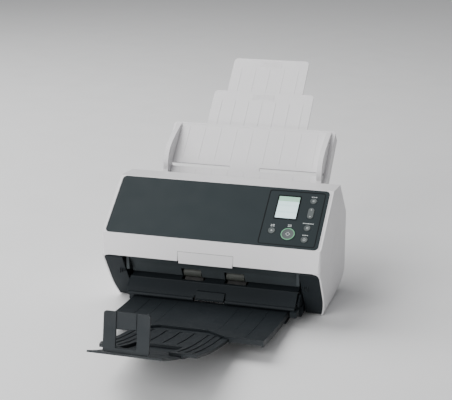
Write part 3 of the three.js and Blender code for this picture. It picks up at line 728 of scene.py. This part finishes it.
# ---------- chute ----------
def build_chute_ribs():
    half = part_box("chute_plate")[1].x / MM
    length = max(heights_in(CHUTE, "chute_plate"))
    build = bmesh.new()
    for x in range(-96, 97, 24):
        for start, stop in ((7, length / 2 - 10), (length / 2 + 6, length - 7)):
            slab(build, CHUTE, bar(1.6, stop - start, x, (start + stop) / 2), -0.2, 0.32)
    outer = rounded(-half + 1.5, half - 1.5, 1.5, length - 1.5, 3)
    inner = rounded(-half + 2.7, half - 2.7, 2.7, length - 2.7, 2.5)
    open_slab(build, CHUTE, outer, inner, -0.2, 0.3)
    add_piece("chute_ribs", build, "light_plastic", "base", 0.12)


def build_extension_ribs(node, body, count, height):
    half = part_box(node)[1].x / MM
    place = working_frame(node, CHUTE_NORMAL, CHUTE_UP)
    length = max(heights_in(place, node))
    build = bmesh.new()
    for i in range(count):
        x = (i - (count - 1) / 2) * 2 * (half - 14) / (count - 1)
        slab(build, place, bar(2, length - 26, x, length / 2 - 4), -0.2, height)
    for i in range(5):
        slab(build, place, bar(34, 1.1, 0, length - 4.5 - 2 * i), -0.2, height)
    add_piece(node + "_ribs", build, "light_plastic", body, 0.1)


def build_guide_marks():
    """Two small dark marks on the outer face of each side guide."""
    foot = CHUTE.translation
    for side, name in ((1, "right"), (-1, "left")):
        low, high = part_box(name + "_side_guide")
        outer = high.x if side > 0 else low.x
        place = facing(X * side, CHUTE_UP, Vector((outer, foot.y, foot.z)))
        build = bmesh.new()
        for y, h, size in ((112, 5.5, 2.6), (60, 5.5, 4.4)):
            slab(build, place, bar(size, size * 0.8, -side * h, y), -0.6, 0.04)
        add_piece(name + "_guide_marks", build, "black_plastic", name + "_guide", 0.03)


# ---------- back and underside ----------
def screw(build, place, radius):
    """A pan head screw with a round dimple in its middle."""
    lathe(build, place, [
        (radius, -0.3), (radius, 0.5), (radius * 0.8, 1.0), (radius * 0.42, 1.2),
        (radius * 0.3, 0.5), (0.1, 0.45),
    ], 24)


def tray_floor():
    """The height of the base tray's underside."""
    return min(vertex.co.z for vertex in NODES["base_tray"].data.vertices)


def build_screws():
    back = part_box("rear_cover")[1]
    build = bmesh.new()
    for x in (-128, 128):
        for z in (34, 102):
            screw(build, facing(Y, Z, Vector((x * MM, back.y, z * MM))), 2.8)
    add_piece("rear_screws", build, "steel", "base", 0.05)
    tray = tray_floor()
    front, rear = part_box("left_front_foot")[0].y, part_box("left_rear_foot")[1].y
    build = bmesh.new()
    for x in (-96, 96):
        for y in (front + 8 * MM, rear - 8 * MM):
            screw(build, facing(-Z, Y, Vector((x * MM, y, tray + 0.1 * MM))), 2.6)
    add_piece("tray_screws", build, "steel", "base", 0.05)


def build_blank_plate():
    """The rating plate under the machine, left blank."""
    tray = tray_floor()
    middle = (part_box("left_front_foot")[0].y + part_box("left_rear_foot")[1].y) / 2
    build = bmesh.new()
    place = facing(-Z, Y, Vector((0, middle, tray)))
    slab(build, place, rounded(-38, 38, -17, 17, 2), -0.05, 0.2)
    add_piece("blank_rating_plate", build, "printed_ink", "base", 0.03)


def build_socket_details():
    """The centre pin of the power inlet, and the metal shells and tongues of the other sockets."""
    for node, half_x, half_z in (("usb_port", 3.9, 3.7), ("lan_port", 5.5, 3.9)):
        low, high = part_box(node)
        middle = (low + high) / 2
        place = facing(Y, Z, Vector((middle.x, high.y, middle.z)))
        build = bmesh.new()
        outer = rounded(-half_x, half_x, -half_z, half_z, 0.5)
        inner = rounded(-half_x + 0.4, half_x - 0.4, -half_z + 0.4, half_z - 0.4, 0.4)
        open_slab(build, place, outer, inner, -11, -0.1)
        add_piece(node + "_shell", build, "steel", "base", 0.05)
        build = bmesh.new()
        slab(build, place, bar(half_x, 1.4, 0, half_z * 0.35), -11.8, -2.5)
        add_piece(node + "_tongue", build, "black_plastic", "base", 0.1)
    low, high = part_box("dc_inlet")
    middle = (low + high) / 2
    build = bmesh.new()
    lathe(build, facing(Y, Z, Vector((middle.x, high.y, middle.z))), [
        (0.95, -12.5), (0.95, -2.2), (0.6, -1.6), (0.1, -1.5),
    ], 20)
    add_piece("dc_inlet_pin", build, "steel", "base", 0.05)


build_panel_rim()
build_operator_seam()
build_tab_seam()
build_keys()
build_rocker_marks()
build_captions()
build_screen_frame()
build_corner_webs()
build_cheek_ribs()
build_stacker_details()
build_chute_ribs()
build_extension_ribs("chute_extension_1", "chute_slide_1", 7, 0.4)
build_extension_ribs("chute_extension_2", "chute_slide_2", 5, 0.3)
build_guide_marks()
build_screws()
build_blank_plate()
build_socket_details()


# ---------- floor and light ----------
def make_floor():
    mesh = bpy.data.meshes.new("floor")
    build = bmesh.new()
    bmesh.ops.create_grid(build, x_segments=24, y_segments=24, size=6)
    build.to_mesh(mesh)
    build.free()
    mesh.materials.append(floor_paint())
    floor = bpy.data.objects.new("floor", mesh)
    bpy.context.scene.collection.objects.link(floor)


def area_light(name, place, aim, size, power):
    data = bpy.data.lights.new(name, "AREA")
    data.shape = "RECTANGLE"
    data.size, data.size_y = size
    data.energy = power
    lamp = bpy.data.objects.new(name, data)
    bpy.context.scene.collection.objects.link(lamp)
    lamp.location = place
    lamp.rotation_mode = "QUATERNION"
    lamp.rotation_quaternion = (Vector(aim) - Vector(place)).to_track_quat("-Z", "Y")


def make_light():
    world = bpy.data.worlds.new("studio")
    bpy.context.scene.world = world
    world.use_nodes = True
    sky = world.node_tree.nodes["Background"]
    sky.inputs["Color"].default_value = (0.97, 0.98, 1.0, 1)
    sky.inputs["Strength"].default_value = 0.3
    area_light("key", (-0.9, -2.4, 1.3), (0, -0.05, 0.1), (1.6, 1.2), 52)
    area_light("overhead", (-1.5, 0.4, 2.3), (-0.1, 0, 0.1), (2.2, 2.2), 80)
    area_light("front_fill", (-0.25, -1.7, 0.17), (0, 0, 0.06), (1.4, 0.25), 9)


make_floor()
make_light()
